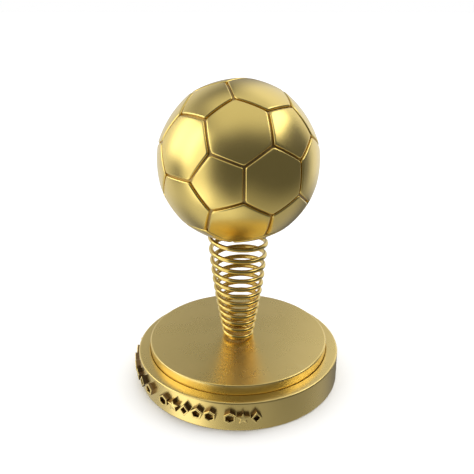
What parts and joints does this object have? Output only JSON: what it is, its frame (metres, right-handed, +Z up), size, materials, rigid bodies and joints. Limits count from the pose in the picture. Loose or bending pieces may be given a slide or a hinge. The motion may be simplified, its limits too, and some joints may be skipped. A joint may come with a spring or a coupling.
{
  "type": "football trophy",
  "caption": "Gold trophy: a panelled football that wobbles on a conical coil spring above a round two-tier base with a raised frieze.",
  "frame": {"origin": "centre of the felt pad's underside, on the axis of the base", "axes": "+Z up along the axis of the base and spring, -Y to the front of the trophy, +X to its right seen from the front"},
  "size_m": [0.1218, 0.1218, 0.1736],
  "materials": {
    "plinth_gold": "satin gold lacquer",
    "frieze_gold": "satin gold lacquer",
    "spring_gold": "gold-plated spring wire",
    "panel_gold": "satin gold metallised plastic",
    "core_gold": "satin gold metallised plastic",
    "core_plastic": "moulded",
    "seat_aluminium": "turned, gold anodised",
    "fastener_steel": "zinc plated",
    "plate_steel": "black paint",
    "ballast_iron": "as cast",
    "felt": "pressed felt"
  },
  "bodies": {
    "base": {"felt_pad": "felt", "bottom_plate": "plate_steel", "bottom_plate_screws": "fastener_steel", "ballast_disc": "ballast_iron", "ballast_screws": "fastener_steel", "lower_plinth": "plinth_gold", "upper_plinth": "plinth_gold", "plinth_dowels": "fastener_steel", "centre_bolt": "fastener_steel", "centre_washer": "fastener_steel", "spring_clamp_boss": "plinth_gold", "frieze_motifs_left": "frieze_gold", "frieze_motifs_middle": "frieze_gold", "frieze_motifs_right": "frieze_gold", "spring_foot_coils": "spring_gold"},
    "lower_spring": {"spring_lower_coils": "spring_gold"},
    "middle_spring": {"spring_middle_coils": "spring_gold"},
    "upper_spring": {"spring_upper_coils": "spring_gold"},
    "ball": {"spring_crown_coil": "spring_gold", "upper_spring_seat": "seat_aluminium", "seat_bolt": "fastener_steel", "seat_nut": "fastener_steel", "core_lower_shell": "core_gold", "core_upper_shell": "core_gold", "core_locating_ring": "core_plastic", "hexagon_panel_01": "panel_gold", "hexagon_panel_02": "panel_gold", "hexagon_panel_03": "panel_gold", "hexagon_panel_04": "panel_gold", "hexagon_panel_05": "panel_gold", "hexagon_panel_06": "panel_gold", "hexagon_panel_07": "panel_gold", "hexagon_panel_08": "panel_gold", "hexagon_panel_09": "panel_gold", "hexagon_panel_10": "panel_gold", "hexagon_panel_11": "panel_gold", "hexagon_panel_12": "panel_gold", "hexagon_panel_13": "panel_gold", "hexagon_panel_14": "panel_gold", "hexagon_panel_15": "panel_gold", "hexagon_panel_16": "panel_gold", "hexagon_panel_17": "panel_gold", "hexagon_panel_18": "panel_gold", "hexagon_panel_19": "panel_gold", "hexagon_panel_20": "panel_gold", "pentagon_panel_01": "panel_gold", "pentagon_panel_02": "panel_gold", "pentagon_panel_03": "panel_gold", "pentagon_panel_04": "panel_gold", "pentagon_panel_05": "panel_gold", "pentagon_panel_06": "panel_gold", "pentagon_panel_07": "panel_gold", "pentagon_panel_08": "panel_gold", "pentagon_panel_09": "panel_gold", "pentagon_panel_10": "panel_gold", "pentagon_panel_11": "panel_gold", "pentagon_panel_12": "panel_gold"}
  },
  "joints": [
    {"name": "ball_twist", "type": "hinge", "parent": "base", "child": "lower_spring", "pos_m": [0, 0, 0.032], "axis": [0, 0, 1], "range_deg": [-20, 20], "stiffness_Nm_per_rad": 0.5, "deforming": ["spring_foot_coils"]},
    {"name": "sway_front_back", "type": "hinge", "parent": "lower_spring", "child": "middle_spring", "pos_m": [0, 0, 0.046], "axis": [1, 0, 0], "range_deg": [-15, 15], "stiffness_Nm_per_rad": 0.42, "deforming": ["spring_lower_coils"]},
    {"name": "sway_side", "type": "hinge", "parent": "middle_spring", "child": "upper_spring", "pos_m": [0, 0, 0.062], "axis": [0, 1, 0], "range_deg": [-15, 15], "stiffness_Nm_per_rad": 0.42, "deforming": ["spring_middle_coils"]},
    {"name": "ball_bob", "type": "slide", "parent": "upper_spring", "child": "ball", "axis": [0, 0, 1], "range_m": [-0.006, 0.004], "stiffness_N_per_m": 2100, "springref_m": 0.00043, "deforming": ["spring_upper_coils", "spring_crown_coil"]}
  ]
}
